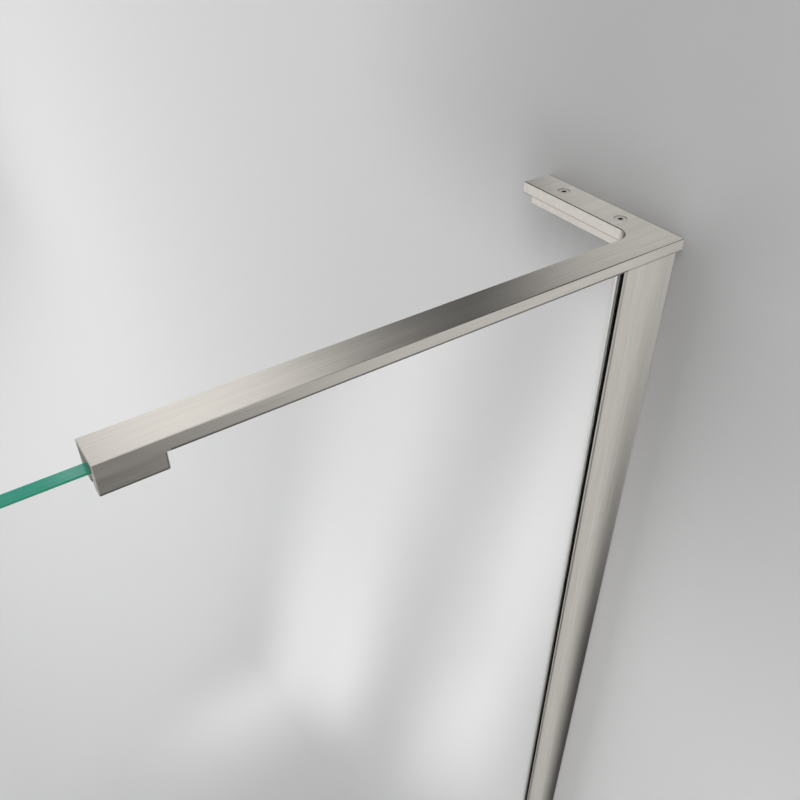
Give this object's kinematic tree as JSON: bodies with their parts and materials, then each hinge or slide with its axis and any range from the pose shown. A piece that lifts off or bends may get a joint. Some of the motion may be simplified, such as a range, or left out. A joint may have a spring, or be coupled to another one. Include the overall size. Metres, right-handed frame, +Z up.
{
  "type": "hinged shower door",
  "caption": "Frameless hinged glass shower door hung on a stationary glass panel with an L-shaped wall support bar, wall profile, glass hinges and back-to-back pulls.",
  "frame": {"origin": "on the wall face, at the foot of the wall channel, in the plane of the glass", "axes": "+X into the wall that carries the part, +Z up, -Y towards the side that the picture was taken from"},
  "size_m": [1.2187, 0.1973, 1.829],
  "materials": {
    "brushed_nickel": "brushed nickel",
    "screw_steel": "satin stainless steel",
    "mill_aluminium": "mill finish",
    "clear_glass": "clear tempered glass with green edges",
    "black_gasket": "matte black",
    "grey_gasket": "matte grey",
    "clear_vinyl": "clear soft vinyl",
    "white_nylon": "nylon",
    "grey_cap": "satin grey"
  },
  "bodies": {
    "fixed_panel": {"bar_cushion_strip": "clear_vinyl", "bar_screws": "screw_steel", "clamp_grub_screws": "screw_steel", "clamp_liner": "clear_vinyl", "fixed_panel_glass": "clear_glass", "floor_channel": "brushed_nickel", "floor_channel_gaskets": "black_gasket", "hinge_edge_seal": "clear_vinyl", "l_bar": "brushed_nickel", "lower_hinge_bushes": "white_nylon", "lower_hinge_panel_clamp_plate": "brushed_nickel", "lower_hinge_panel_leaf": "brushed_nickel", "panel_hinge_gaskets": "grey_gasket", "panel_hinge_screws": "screw_steel", "profile_back_gasket": "grey_gasket", "profile_fixing_screws": "screw_steel", "profile_front_gasket": "black_gasket", "profile_screw_caps": "grey_cap", "setting_blocks": "black_gasket", "upper_hinge_bushes": "white_nylon", "upper_hinge_panel_clamp_plate": "brushed_nickel", "upper_hinge_panel_leaf": "brushed_nickel", "wall_bracket": "brushed_nickel", "wall_channel": "mill_aluminium", "wall_profile": "brushed_nickel"},
    "door": {"door_bottom_seal": "clear_vinyl", "door_glass": "clear_glass", "door_hinge_gaskets": "grey_gasket", "door_hinge_screws": "screw_steel", "inner_pull_bar": "brushed_nickel", "inner_pull_posts": "brushed_nickel", "lower_hinge_door_clamp_plate": "brushed_nickel", "lower_hinge_door_leaf": "brushed_nickel", "lower_hinge_pin": "screw_steel", "outer_pull_bar": "brushed_nickel", "outer_pull_posts": "brushed_nickel", "pull_grub_screws": "screw_steel", "pull_studs": "screw_steel", "pull_washers": "clear_vinyl", "strike_edge_seal": "clear_vinyl", "upper_hinge_door_clamp_plate": "brushed_nickel", "upper_hinge_door_leaf": "brushed_nickel", "upper_hinge_pin": "screw_steel"}
  },
  "joints": [
    {"name": "door_swing", "type": "hinge", "parent": "fixed_panel", "child": "door", "pos_m": [-0.611, 0, 0.91], "axis": [0, 0, 1], "range_deg": [-90, 90]}
  ]
}
